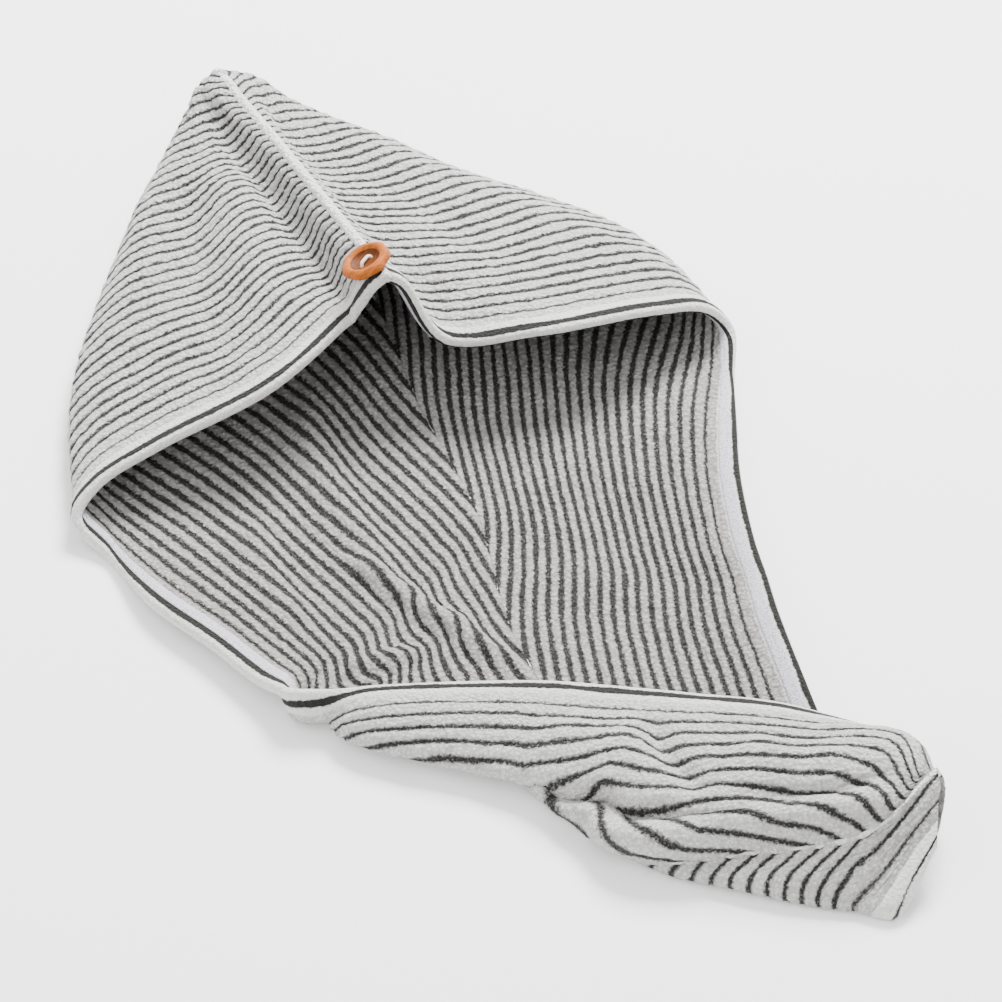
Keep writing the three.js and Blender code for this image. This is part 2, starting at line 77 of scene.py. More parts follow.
# Width from the hem's edge to where the stripes begin, and the step from rib to rib
HEM_BAND = 0.0135
ROW_SPACING = 0.0038

# The fastening loop's x as a share of HALF_WIDTH and its place back as a share of LENGTH
LOOP_PLACE = (0.56, 0.905)

# Seam line: x as a share of HALF_WIDTH, back from the apex as a share of LENGTH, and up
# as a share of RIDGE_HEIGHT
SEAM_LINE = {
    "ridge": (0.01, 0.014, 0.375),
    "ridge flank": (0.01, 0.008, 0.35),
    "ridge foot": (0.01, 0.004, 0.32),
    "front": (0.01, 0, 0.28),
    "front low": (0.01, 0, 0.24),
    "fold top": (0.01, 0, 0.2),
    "side fold": (0.01, 0.001, 0.15),
    "under fold": (0.015, 0.021, 0.03),
    "back high": (0.146, 0.212, 0.02),
    "back middle": (0.1, 0.368, 0.02),
    "back low": (0.09, 0.495, 0.02),
    "upright": (0.056, 0.552, 0.02),
    "turn over": (0.01, 0.618, 0.02),
    "band": (0, 0.707, 0.02),
    "roll": (-0.022, 0.795, 0.04),
    "wrist": (-0.006, 0.888, 0.08),
    "twist": (0.287, 0.926, 0.19),
    "tail": (0.562, 0.952, 0.34),
    "tail end": (0.837, 0.919, 0.44),
}
RIBS = list(SEAM_LINE)
LAST_RIB = len(RIBS) - 1

# Hood ribs: the hem's x, back and up, then how high the rib is a third and two thirds
# of the way in, and how far it stands out sideways there
HOOD = {
    LEFT: {
        "ridge": (0.034, 0.352, 1, 0.79, 0.585, 0, 0),
        "ridge flank": (-0.006, 0.351, 0.925, 0.73, 0.54, 0, 0.01),
        "ridge foot": (-0.06, 0.349, 0.74, 0.58, 0.42, 0, 0.02),
        "front": (-0.365, 0.392, 0.625, 0.58, 0.42, 0.02, 0.05),
        "front low": (-0.73, 0.399, 0.4, 0.38, 0.32, 0.07, 0.08),
        "fold top": (-0.92, 0.41, 0.29, 0.26, 0.24, 0.12, 0.11),
        "side fold": (-1, 0.424, 0.16, 0.14, 0.13, 0.145, 0.13),
        "under fold": (-0.95, 0.455, 0.05, 0.03, 0.03, 0.12, 0.11),
        "back high": (-0.916, 0.523, 0.12, 0.03, 0.02, 0, 0),
        "back middle": (-0.826, 0.58, 0.14, 0.03, 0.02, 0, 0),
        "back low": (-0.745, 0.64, 0.18, 0.03, 0.02, 0, 0),
    },
    RIGHT: {
        "ridge": (0.034, 0.352, 1, 0.79, 0.585, 0, 0),
        "ridge flank": (0.079, 0.354, 0.925, 0.74, 0.545, 0, 0.01),
        "ridge foot": (0.169, 0.378, 0.575, 0.58, 0.44, 0, 0.02),
        "front": (0.42, 0.402, 0.64, 0.56, 0.42, 0.05, 0.05),
        "front low": (0.787, 0.393, 0.52, 0.42, 0.33, 0.12, 0.08),
        "fold top": (0.945, 0.391, 0.42, 0.31, 0.25, 0.2, 0.12),
        "side fold": (1, 0.4, 0.28, 0.17, 0.15, 0.24, 0.14),
        "under fold": (0.955, 0.435, 0.19, 0.04, 0.03, 0.2, 0.12),
        "back high": (0.876, 0.495, 0.25, 0.06, 0.02, 0, 0),
        "back middle": (0.803, 0.552, 0.275, 0.07, 0.02, 0, 0),
        "back low": (0.742, 0.622, 0.275, 0.07, 0.02, 0, 0),
    },
}

# Tail ribs: the hem, then three points on the way round to the seam, as x, back and up
TAIL = {
    LEFT: {
        "upright": ((-0.7, 0.662, 0.28), (-0.68, 0.665, 0.05), (-0.55, 0.65, 0.03), (-0.3, 0.61, 0.02)),
        "turn over": ((-0.472, 0.676, 0.25), (-0.545, 0.69, 0.23), (-0.6, 0.699, 0.12), (-0.5, 0.682, 0.02)),
        "band": ((-0.034, 0.711, 0.25), (-0.169, 0.76, 0.28), (-0.24, 0.785, 0.14), (-0.16, 0.762, 0.02)),
        "roll": ((0.152, 0.74, 0.29), (-0.05, 0.812, 0.34), (-0.14, 0.836, 0.16), (-0.09, 0.822, 0.03)),
        "wrist": ((0.326, 0.769, 0.325), (0.169, 0.818, 0.42), (0.022, 0.861, 0.36), (-0.045, 0.884, 0.2)),
        "twist": ((0.59, 0.8175, 0.375), (0.494, 0.852, 0.5), (0.382, 0.892, 0.48), (0.303, 0.918, 0.33)),
        "tail": ((0.854, 0.86, 0.1), (0.832, 0.873, 0.375), (0.742, 0.901, 0.54), (0.629, 0.935, 0.48)),
        "tail end": ((0.753, 0.953, 0.03), (0.83, 0.93, 0.1), (0.86, 0.915, 0.225), (0.86, 0.909, 0.35)),
    },
    RIGHT: {
        "upright": ((0.72, 0.662, 0.275), (0.534, 0.628, 0.08), (0.309, 0.591, 0.02), (0.14, 0.566, 0.02)),
        "turn over": ((0.697, 0.7, 0.27), (0.494, 0.675, 0.08), (0.258, 0.644, 0.02), (0.09, 0.625, 0.02)),
        "band": ((0.674, 0.771, 0.21), (0.472, 0.753, 0.06), (0.236, 0.73, 0.02), (0.084, 0.716, 0.02)),
        "roll": ((0.669, 0.8, 0.16), (0.472, 0.796, 0.05), (0.236, 0.795, 0.02), (0.067, 0.795, 0.03)),
        "wrist": ((0.663, 0.827, 0.125), (0.478, 0.852, 0.02), (0.236, 0.883, 0.02), (0.056, 0.897, 0.03)),
        "twist": ((0.674, 0.905, 0.03), (0.517, 0.934, 0.02), (0.337, 0.956, 0.02), (0.258, 0.946, 0.115)),
        "tail": ((0.607, 1, 0.03), (0.56, 0.999, 0.05), (0.523, 0.985, 0.1), (0.522, 0.967, 0.22)),
        "tail end": ((0.758, 0.97, 0.25), (0.775, 0.96, 0.3), (0.803, 0.943, 0.375), (0.826, 0.931, 0.425)),
    },
}

# How far each of the first ribs starts sideways from the seam at the rounded apex
NOSE_SHARES = (0, 0.35, 0.6, 0.9, 1, 1, 1, 1)
SHOULDER_SHARE = 0.3
FIRST_ROLLED_RIB = 15

# The cut of one half laid flat, its width at the hood and its length, and its area. Then
# how far the stripes at the seam are from the hem: at the apex, for each metre along the
# seam, and how much of the right half has slipped under the left one at the tail's ribs
APEX_TO_HEM = 0.214
SEAM_SLOPE = 0.225
SLIPPED_UNDER = {"twist": 0.017, "tail": 0.037, "tail end": 0.032}

# Folds and creases over the two halves: the half, a path of (rib, share of the way from
# hem to seam), and then the width and the height out of the outer face, in metres
APEX_SWELL = (((0.5, 0.88), (1.6, 0.9), (2.8, 0.92), (4.5, 0.93)), 0.011, 0.0024)
FOLDS = {
    "crease at the ridge's foot": (
        LEFT, ((2.0, -0.1), (2.1, 0.2), (2.25, 0.5), (2.35, 0.75), (1.9, 1.0)), 0.0055, -0.004
    ),
    "front swell": (LEFT, ((2.9, 0.72), (2.8, 0.5), (2.75, 0.28), (2.65, 0.05)), 0.012, 0.0055),
    "front hollow": (LEFT, ((3.7, 0.75), (3.55, 0.5), (3.4, 0.25), (3.4, 0.0)), 0.012, -0.003),
    "front side swell": (LEFT, ((4.7, 0.8), (4.4, 0.5), (4.2, 0.2)), 0.012, 0.0025),
    "apex swell left": (LEFT, *APEX_SWELL),
    "apex swell right": (RIGHT, *APEX_SWELL),
    "crown hollow": (LEFT, ((3.2, 1.0), (3.2, 0.85), (3.3, 0.7)), 0.008, -0.002),
    "right roof hollow": (RIGHT, ((2.7, 0.85), (3.0, 0.5), (3.4, 0.15)), 0.014, -0.0025),
    "right roof swell": (RIGHT, ((3.9, 0.8), (4.0, 0.45), (4.2, 0.12)), 0.012, 0.002),
    "right side hollow": (RIGHT, ((4.9, 0.7), (4.9, 0.4), (5.0, 0.15)), 0.009, -0.002),
    "pleat below the seam": (
        LEFT, ((9.3, 0.5), (9.9, 0.58), (10.6, 0.65), (11.9, 0.83), (12.7, 1.0)), 0.0055, -0.0065
    ),
    "soft fold inside left": (LEFT, ((8.0, 0.7), (8.6, 0.62), (9.4, 0.6), (10.1, 0.6)), 0.009, -0.004),
    "soft fold by the open hem": (LEFT, ((8.2, 0.36), (8.9, 0.3), (9.8, 0.26)), 0.008, -0.003),
    "pucker at the turn": (LEFT, ((10.6, 0.3), (11.1, 0.45), (11.8, 0.62)), 0.006, -0.004),
    "soft fold inside right": (RIGHT, ((9.1, 0.85), (9.1, 0.5), (9.5, 0.2)), 0.013, -0.0025),
    "lower fold inside right": (RIGHT, ((10.8, 0.85), (11.2, 0.6), (11.6, 0.3)), 0.011, -0.002),
    "band swell": (LEFT, ((13.1, 0.3), (13.9, 0.36), (14.7, 0.48), (15.1, 0.66)), 0.010, 0.003),
    "band hollow": (LEFT, ((14.7, 0.22), (15.0, 0.4), (15.35, 0.57), (15.6, 0.74)), 0.006, -0.005),
    "roll swell": (LEFT, ((15.6, 0.4), (16.1, 0.5), (16.7, 0.55)), 0.008, 0.002),
    "roll hollow": (LEFT, ((15.6, 0.66), (16.2, 0.72), (16.8, 0.71), (17.1, 0.62)), 0.0045, -0.003),
    "lip swell": (LEFT, ((15.5, 0.86), (16.2, 0.83), (16.9, 0.82), (17.3, 0.8)), 0.0045, 0.0025),
    "twist crease": (
        LEFT,
        ((12.9, 0.52), (13.4, 0.56), (13.95, 0.62), (14.7, 0.76), (15.25, 0.77), (15.8, 0.79)),
        0.0045,
        -0.0085,
    ),
    "lip fold": (LEFT, ((13.8, 0.78), (14.5, 0.88), (15.2, 0.88), (15.8, 0.9)), 0.006, 0.003),
}

# Stripes above and below the twist's crease, where a tuck hides some of the cloth: the
# crease's share of the way across, and how far from the hem the two sides are
TUCK = {
    12.6: (0.5, 0.052, 0.086),
    13.2: (0.54, 0.047, 0.091),
    13.95: (0.62, 0.052, 0.085),
    14.7: (0.76, 0.059, 0.078),
    15.25: (0.77, 0.061, 0.071),
    15.6: (0.79, 0.063, 0.065),
}
# Ribs between which the tuck comes in and goes out
TUCK_FADE = (12.2, 12.8, 15.6, 16.2)
# How much of the cloth at each rib is turned down, and how far from the hem it all is
TURNED_DOWN = {16.5: 0, 16.9: 0.004, 17.4: 0.014, 18: 0.028}
TURNED_WIDTH = 0.02

# Camera: a long lens at the angle the towel is seen from
VIEW_AZIMUTH = -20
VIEW_ELEVATION = 40
VIEW_WIDTH = 0.4265
VIEW_CENTRE = (0.0275, -0.291, 0)
LENS = 800
SENSOR = 36


def measure(name, description, value):
    """A length that a user would change, in metres."""
    return FloatProperty(name=name, description=description, default=value, unit="LENGTH")


class TowelSizes(bpy.types.PropertyGroup):
    """Sizes of the cloth, the tape and the button."""

    cloth_thickness: measure("Cloth thickness", "Thickness of the pile cloth", 0.0045)
    hem_thickness: measure("Hem thickness", "Thickness of the stitched hem", 0.0052)
    hem_width: measure("Hem width", "Width of the stitched hem", 0.012)
    stripe_pitch: measure("Stripe pitch", "Distance from one dark stripe to the next", 0.006)
    tape_width: measure("Tape width", "Width of the tape inside the hem", 0.006)
    button_diameter: measure("Button diameter", "Width across the button", 0.0228)


def colour(name, description, value):
    """A colour that a user would change."""
    return FloatVectorProperty(
        name=name, description=description, default=value, subtype="COLOR", size=3, min=0, max=1
    )


class TowelColours(bpy.types.PropertyGroup):
    """Colours of the cloth, the tape and the button."""

    pile: colour("Pile", "Pale pile of the outer face", (0.78, 0.77, 0.75))
    pile_inside: colour("Pile inside", "Pale pile of the inner face", (0.54, 0.52, 0.50))
    stripe: colour("Stripe", "Dark stripes in the pile", (0.014, 0.014, 0.012))
    tape: colour("Tape", "Tape sewn inside the hem", (0.54, 0.53, 0.59))
    button: colour("Button", "The button's rim", (0.35, 0.088, 0.008))
    thread: colour("Thread", "Thread that holds the button", (0.90, 0.82, 0.70))
    cord: colour("Cord", "Loop that goes over the button", (0.80, 0.78, 0.74))


def chosen(context):
    """The sizes and the colours in use."""
    return context.scene.towel_sizes, context.scene.towel_colours


def spline(points, shares):
    """Points of a centripetal Catmull-Rom curve through the points, at shares 0 to 1."""
    points = np.asarray(points, float)
    ends = np.vstack([2 * points[:1] - points[1:2], points, 2 * points[-1:] - points[-2:-1]])
    last = len(points) - 1
    place = np.clip(np.asarray(shares, float), 0, 1) * last
    index = np.minimum(place.astype(int), last - 1)
    step = (place - index)[:, None]
    before, start, end, after = (ends[index + k] for k in range(4))

    def spacing(a, b):
        return np.sqrt(np.linalg.norm(b - a, axis=1))[:, None]

    first, middle, final = spacing(before, start), spacing(start, end), spacing(end, after)
    leave = (start - before) / first - (end - before) / (first + middle) + (end - start) / middle
    arrive = (end - start) / middle - (after - start) / (middle + final) + (after - end) / final
    leave, arrive = leave * middle, arrive * middle
    square = -3 * start + 3 * end - 2 * leave - arrive
    cube = 2 * start - 2 * end + leave + arrive
    return start + step * (leave + step * (square + step * cube))


def place(x, back, up):
    """A place on the towel, in metres from the apex's foot."""
    return np.array([x * HALF_WIDTH, -back * LENGTH, max(up * RIDGE_HEIGHT, WALL / 2)])


def rib_points(side, name):
    """The rib's points from hem to seam."""
    seam = place(*SEAM_LINE[name])
    if name in TAIL[side]:
        return [place(*point) for point in TAIL[side][name]] + [seam]
    x, back, up, near_up, middle_up, near_out, middle_out = HOOD[side][name]
    hem = place(x, back, up)
    near = hem + (seam - hem) / 3
    middle = hem + (seam - hem) * 2 / 3
    near[0] += side * near_out * HALF_WIDTH
    middle[0] += side * middle_out * HALF_WIDTH
    near[2] = max(near_up * RIDGE_HEIGHT, WALL / 2)
    middle[2] = max(middle_up * RIDGE_HEIGHT, WALL / 2)
    far = seam + (middle - seam) * SHOULDER_SHARE
    index = RIBS.index(name)
    if index < len(NOSE_SHARES):
        reach = NOSE_RADIUS * NOSE_SHARES[index]
        far = seam + np.array([side * reach, -reach / 2 - NOSE_RADIUS / 4, 0])
    return [hem, near, middle, far, seam]


def towards_cloth(side, index, points):
    """Direction from the seam line into one half of the cloth."""
    if index < FIRST_ROLLED_RIB:
        return np.array([side, 0, 0])
    before = place(*SEAM_LINE[RIBS[index - 1]])
    after = place(*SEAM_LINE[RIBS[min(index + 1, LAST_RIB)]])
    forward = (after - before) / np.linalg.norm(after - before)
    inward = points[3] - points[4]
    inward = inward - forward * inward.dot(forward)
    return inward / np.linalg.norm(inward)


def arc_lengths(points):
    """Distance along a line of points."""
    return np.concatenate([[0], np.cumsum(np.linalg.norm(np.diff(points, axis=0), axis=1))])


def along(line, distance, at):
    """Points of a line at some distances along it, given the distance of each of its points."""
    return np.stack([np.interp(at, distance, line[:, axis]) for axis in range(3)], axis=-1)


def between(table, at):
    """Value between the entries of a table."""
    return np.interp(at, list(table), list(table.values()))


class Half:
    """One half of the cloth, as a surface that can be asked for points."""

    RIB_SAMPLES = 160
    # How far along in ribs, and across as a share, a fold still acts
    FOLD_REACH = 1.6
    FOLD_SHARE = 0.4
    FOLD_SAMPLES = 81
    SEAM_SAMPLES = 20
    # Half the width of the step in the stripes' numbers at the tuck
    CREASE_STEP = 0.0004

    def __init__(self, side, held_back):
        self.side = side
        lines = []
        for index, name in enumerate(RIBS):
            points = rib_points(side, name)
            shift = towards_cloth(side, index, points) * held_back
            points[4] = points[4] + shift
            if index == 0:
                points = [p + shift for p in points[:4]] + points[4:]
            lines.append(points)
        self.rails = np.array(lines).transpose(1, 0, 2)
        self.folds = [self.fold_line(*row[1:]) for row in FOLDS.values() if row[0] == side]

    def fold_line(self, marks, width, height):
        """Points of a fold with the rib and share of each, and how high the fold is there."""
        samples = np.linspace(0, 1, self.FOLD_SAMPLES)
        line = spline(marks, samples)
        ribs = self.ribs(line[:, 0] / LAST_RIB)
        points = []
        for rib, share in zip(ribs, line[:, 1]):
            distance = arc_lengths(rib)
            points.append(along(rib, distance, share * distance[-1]))
        rise = np.clip(np.minimum(samples, 1 - samples) / 0.25, 0, 1)
        return np.array(points), line, width, height * rise * rise * (3 - 2 * rise)

    def lift(self, points, ribs, shares):
        """How far the folds move points along their normals."""
        total = np.zeros(points.shape[:2])
        for line, marks, width, heights in self.folds:
            rows = (ribs > marks[:, 0].min() - self.FOLD_REACH) & (ribs < marks[:, 0].max() + self.FOLD_REACH)
            gap = np.linalg.norm(points[rows][:, :, None] - line, axis=3)
            apart = np.abs(ribs[rows][:, None, None] - marks[:, 0]) > self.FOLD_REACH
            apart = apart | (np.abs(shares[rows][:, :, None] - marks[:, 1]) > self.FOLD_SHARE)
            gap = np.where(apart, 1, gap)
            nearest = gap.argmin(axis=2)
            distance = np.take_along_axis(gap, nearest[:, :, None], axis=2)[:, :, 0]
            total[rows] += heights[nearest] * np.exp(-((distance / width) ** 2))
        return total

    def ribs(self, shares):
        """Fine points of each rib, from hem to seam."""
        rails = np.array([spline(rail, shares) for rail in self.rails])
        fine = np.linspace(0, 1, self.RIB_SAMPLES + 1)
        return np.array([spline(rails[:, k], fine) for k in range(len(shares))])

    def seam_reach(self, shares):
        """How far the stripes at the seam are from the hem, rib by rib."""
        fine = np.linspace(0, 1, 1 + self.SEAM_SAMPLES * LAST_RIB)
        seam = arc_lengths(spline(self.rails[4], fine))
        reach = APEX_TO_HEM - SEAM_SLOPE * np.interp(shares, fine, seam)
        if self.side == RIGHT:
            slip = [SLIPPED_UNDER.get(name, 0) for name in RIBS]
            reach = reach - np.interp(shares, np.linspace(0, 1, len(RIBS)), slip)
        return reach

    def grid(self, shares, stations):
        """Points, normals out of the outer face and (length, distance from the hem) of a grid.
        stations(length) gives where the points of a rib of that length lie."""
        ribs = self.ribs(shares)
        reach = self.seam_reach(shares)
        hem_lengths = arc_lengths(ribs[:, 0])
        points, across, cloth = [], [], []
        for k, rib in enumerate(ribs):
            distance = arc_lengths(rib)
            at = stations(distance[-1])
            row = along(rib, distance, at)
            row[:, 2] = np.maximum(row[:, 2], CLOTH_REST)
            points.append(row)
            across.append(at / distance[-1])
            knots, reaches = self.stripe_knots(shares[k] * LAST_RIB, distance[-1], reach[k])
            flat = np.where(at < 0, at, np.interp(at, knots, reaches))
            if self.side == LEFT:
                turned = between(TURNED_DOWN, shares[k] * LAST_RIB)
                flat = flat - turned * np.clip((at - HEM_BAND) / TURNED_WIDTH, 0, 1)
            cloth.append(np.stack([np.full(len(at), hem_lengths[k]), flat], axis=1))
        points, across = np.array(points), np.array(across)
        lift = self.lift(points, shares * LAST_RIB, across)
        points = points + self.normals(points) * lift[:, :, None]
        points[:, :, 2] = np.maximum(points[:, :, 2], CLOTH_REST)
        return points, self.normals(points), np.array(cloth)

    def normals(self, points):
        """Normals out of the outer face."""
        normals = np.cross(np.gradient(points, axis=0), np.gradient(points, axis=1)) * self.side
        return normals / np.maximum(np.linalg.norm(normals, axis=2, keepdims=True), 1e-9)

    def stripe_knots(self, rib, length, reach):
        """Lengths along a rib, and how far from the hem the cloth is there before it is folded."""
        strength = np.interp(rib, TUCK_FADE, (0, 1, 1, 0)) if self.side == LEFT else 0
        if strength == 0:
            return (0, HEM_BAND, length), (0, HEM_BAND, reach)
        share, above, below = (np.interp(rib, list(TUCK), column) for column in zip(*TUCK.values()))
        plain = HEM_BAND + (reach - HEM_BAND) * (share * length - HEM_BAND) / (length - HEM_BAND)
        above, below = (plain + (side - plain) * strength for side in (above, below))
        crease = share * length
        step = self.CREASE_STEP
        return (0, HEM_BAND, crease - step, crease + step, length), (0, HEM_BAND, above, below, reach)


def rib_shares(first=0, last=LAST_RIB):
    """Where the ribs of the mesh are drawn, evenly over the cloth."""
    rails = np.array([Half(side, 0).rails for side in (LEFT, RIGHT)])
    spans = np.linalg.norm(np.diff(rails, axis=2), axis=3).max(axis=(0, 1))
    marks = [0.0]
    for index, span in enumerate(spans):
        steps = max(3, round(span / ROW_SPACING))
        marks += [index + (step + 1) / steps for step in range(steps)]
    marks = np.array([mark for mark in marks if first <= mark <= last])
    return marks / LAST_RIB


def to_frame():
    """Moves places measured from the apex's foot into the solid model's frame."""
    low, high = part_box("fastening_loop")
    centre = (low + high) / 2
    foot = place(LOOP_PLACE[0], LOOP_PLACE[1], 0)
    return np.array([centre.x - foot[0], centre.y - foot[1], 0])


SHIFT = to_frame()


def grid_mesh(name, points, cloth=None, closed=False, capped=False, flip=False, depth=None):
    """A mesh from a bmesh grid whose corners are moved to the given points. depth is the
    share of its full wall that the cloth has at each corner."""
    rows, columns = points.shape[:2]
    bm = bmesh.new()
    bmesh.ops.create_grid(bm, x_segments=rows - 1, y_segments=columns - 1, size=0.5)
    pile = bm.verts.layers.deform.verify() if depth is not None else None
    spots = {}
    for vertex in bm.verts:
        i = round((vertex.co.x + 0.5) * (rows - 1))
        j = round((vertex.co.y + 0.5) * (columns - 1))
        spots[vertex] = (i, j)
    if cloth is not None:
        layer = bm.loops.layers.uv.new("cloth")
        for face in bm.faces:
            for loop in face.loops:
                loop[layer].uv = cloth[spots[loop.vert]]
    for vertex, spot in spots.items():
        vertex.co = points[spot] + SHIFT
        if pile is not None:
            vertex[pile][0] = float(depth[spot])
    if closed:
        bmesh.ops.remove_doubles(bm, verts=bm.verts, dist=1e-6)
    if capped:
        edges = [edge for edge in bm.edges if edge.is_boundary]
        bmesh.ops.holes_fill(bm, edges=edges, sides=0)
    if closed:
        bmesh.ops.recalc_face_normals(bm, faces=bm.faces)
    elif flip:
        bmesh.ops.reverse_faces(bm, faces=bm.faces)
    piece = mesh_object(name, bm)
    if depth is not None:
        piece.vertex_groups.new(name="pile")
    return piece


def mesh_object(name, bm):
    """Puts a finished bmesh in the scene as a smooth piece."""
    mesh = bpy.data.meshes.new(name)
    bm.to_mesh(mesh)
    bm.free()
    mesh.shade_smooth()
    piece = bpy.data.objects.new(name, mesh)
    bpy.context.scene.collection.objects.link(piece)
    return piece


def stand(name, data, spot, facing):
    """Puts a lamp or a camera at a spot, facing a way."""
    holder = bpy.data.objects.new(name, data)
    holder.location = spot
    holder.rotation_euler = facing.to_track_quat("-Z", "Y").to_euler()
    bpy.context.scene.collection.objects.link(holder)
    return holder


def paint(piece, *materials):
    """Gives a piece its materials."""
    for material in materials:
        piece.data.materials.append(material)


def dress(piece, slot, *nodes):
    """Puts a piece in the place of its solids."""
    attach(piece, "root")
    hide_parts(*nodes)


def squarish(values):
    """Turns a circle's sines or cosines into those of a rounded rectangle."""
    return np.sign(values) * np.abs(values) ** 0.7


def strip_grid(half, shares, start, end, thickness, offset, inner_slip=0, sides=20):
    """Ring round a strip of the cloth between two distances from the hem, rib by rib.
    inner_slip is how much nearer to the hem's edge its pattern is on the inner face."""
    middle, reach = (start + end) / 2, (end - start) / 2
    angles = np.linspace(0, 2 * math.pi, sides + 1)
    height = squarish(np.sin(angles))
    at = middle + reach * squarish(np.cos(angles))
    inner = np.clip(-2 * height, 0, 1)
    order = np.linspace(start, end, 9)
    points, normals, cloth = half.grid(shares, lambda length: order)
    rings, flats = [], []
    for row, row_normals, row_cloth in zip(points, normals, cloth):
        normal = along(row_normals, order, at)
        ring = along(row, order, at) + normal * (offset + height * thickness / 2)[:, None]
        ring[:, 2] = np.maximum(ring[:, 2], 0)
        rings.append(ring)
        flats.append(np.stack([np.full(len(at), row_cloth[0, 0]), at + inner_slip * inner], axis=1))
    return np.array(rings), np.array(flats)


def tube_rings(path, radius, sides=12, up=Vector((0, 0, 1))):
    """Rings of a round cord along a path."""
    rings = []
    for k, point in enumerate(path):
        ahead = path[min(k + 1, len(path) - 1)] - path[max(k - 1, 0)]
        side = ahead.cross(up).normalized()
        lift = side.cross(ahead).normalized()
        angles = [2 * math.pi * n / sides for n in range(sides + 1)]
        rings.append([point + radius * (math.cos(a) * side + math.sin(a) * lift) for a in angles])
    return np.array([[tuple(p) for p in ring] for ring in rings])


class Wire:
    """A socket that takes part in sums."""

    def __init__(self, finish, socket):
        self.finish = finish
        self.socket = socket

    def maths(self, operation, *values):
        node = self.finish.node("ShaderNodeMath", {"operation": operation}, *values)
        return self.finish.wire(node)

    def __add__(self, other):
        return self.maths("ADD", self, other)

    __radd__ = __add__

    def __sub__(self, other):
        return self.maths("SUBTRACT", self, other)

    def __rsub__(self, other):
        return self.maths("SUBTRACT", other, self)

    def __mul__(self, other):
        return self.maths("MULTIPLY", self, other)

    __rmul__ = __mul__

    def __truediv__(self, other):
        return self.maths("DIVIDE", self, other)

    def __abs__(self):
        return self.maths("ABSOLUTE", self)

    def fraction(self):
        return self.maths("FRACT", self)

    def smooth(self, low, high):
        """0 below low, 1 above high, and smooth between."""
        settings = {"interpolation_type": "SMOOTHSTEP"}
        node = self.finish.node("ShaderNodeMapRange", settings, self, low, high, 0.0, 1.0)
        return self.finish.wire(node)


class Finish:
    """A material with the nodes that its pattern needs."""

    def __init__(self, name):
        self.material = bpy.data.materials.new(name)
        self.material.use_nodes = True
        self.tree = self.material.node_tree
        self.shader = next(n for n in self.tree.nodes if n.type == "BSDF_PRINCIPLED")

    def node(self, kind, settings=None, *values, **named):
        """A node of a kind, with its settings and its sockets' values or links."""
        node = self.tree.nodes.new(kind)
        for key, value in (settings or {}).items():
            setattr(node, key, value)
        sockets = dict(enumerate(values))
        sockets.update({key.replace("_", " "): value for key, value in named.items()})
        for key, value in sockets.items():
            self.feed(node.inputs[key], value)
        return node

    def feed(self, socket, value):
        if isinstance(value, Wire):
            self.tree.links.new(value.socket, socket)
        elif value is not None:
            socket.default_value = value

    def wire(self, node, output=0):
        return Wire(self, node.outputs[output])

    def places(self):
        return self.wire(self.node("ShaderNodeTexCoord"), "Object")

    def noise(self, scale, detail=2.0, where=None, roughness=0.5):
        sockets = {"Vector": where or self.places(), "Scale": scale, "Detail": detail, "Roughness": roughness}
        return self.wire(self.node("ShaderNodeTexNoise", None, **sockets))

    def cells(self, scale):
        node = self.node("ShaderNodeTexVoronoi", {"feature": "F1"}, Vector=self.places(), Scale=scale)
        return self.wire(node, "Distance")

    def mix(self, share, first, second):
        node = self.node("ShaderNodeMix", {"data_type": "RGBA"})
        self.feed(node.inputs["Factor"], share)
        self.feed(node.inputs[6], first)
        self.feed(node.inputs[7], second)
        return Wire(self, node.outputs[2])

    def surface(self, shade, height=None, depth=0, **sockets):
        """The material, with its colour, bumps up to a depth in metres and other sockets."""
        sockets["Base_Color"] = shade
        if height is not None:
            bumps = self.node("ShaderNodeBump", None, Strength=1.0, Distance=depth, Height=height)
            sockets["Normal"] = self.wire(bumps)
        for key, value in sockets.items():
            self.feed(self.shader.inputs[key.replace("_", " ")], value)
        return self.material


def opaque(rgb, share=1.0):
    """The colour, or a share of it, with no transparency."""
    return (*(c * share for c in rgb), 1.0)


def from_hem(finish, part="Y"):
    """Distance from the hem, in metres, over the cloth, or with X the distance along it."""
    uv = finish.node("ShaderNodeUVMap", {"uv_map": "cloth"})
    parts = finish.node("ShaderNodeSeparateXYZ", None, finish.wire(uv))
    return finish.wire(parts, part)


# Features in a metre: the hem's and the seam's loops, and the noises of the stripes' sway
# and weight, of ragged edges, of the fuzz and of the flecks
LOOPS = 620.0
SWAYING = 60.0
WEIGHT = 38.0
COARSE = 480.0
FINE = 1250.0
FUZZ = 2600.0
FLECK = 1050.0
# How far a stripe sways in metres, and how soft its edge is as a share of the pitch
SWAY = 0.0009
SOFT_EDGE = 0.08
# How soft the pile takes the light
PILE_SURFACE = {"Roughness": 0.95, "Specular_IOR_Level": 0.15, "Sheen_Weight": 0.06, "Sheen_Roughness": 0.6}


def pile_grain(finish, nub):
    """Cells of the pile's loops, the fuzz over them, the flecks, and the painted shade that darkens the pile
    between its loops.
    """
    loops = finish.cells(nub)
    fuzz = finish.noise(FUZZ, 3.0, roughness=0.65)
    flecks = finish.noise(FLECK, 3.0, roughness=0.7).smooth(0.46, 0.68)
    return loops, fuzz, flecks, loops.smooth(0.2, 0.7)


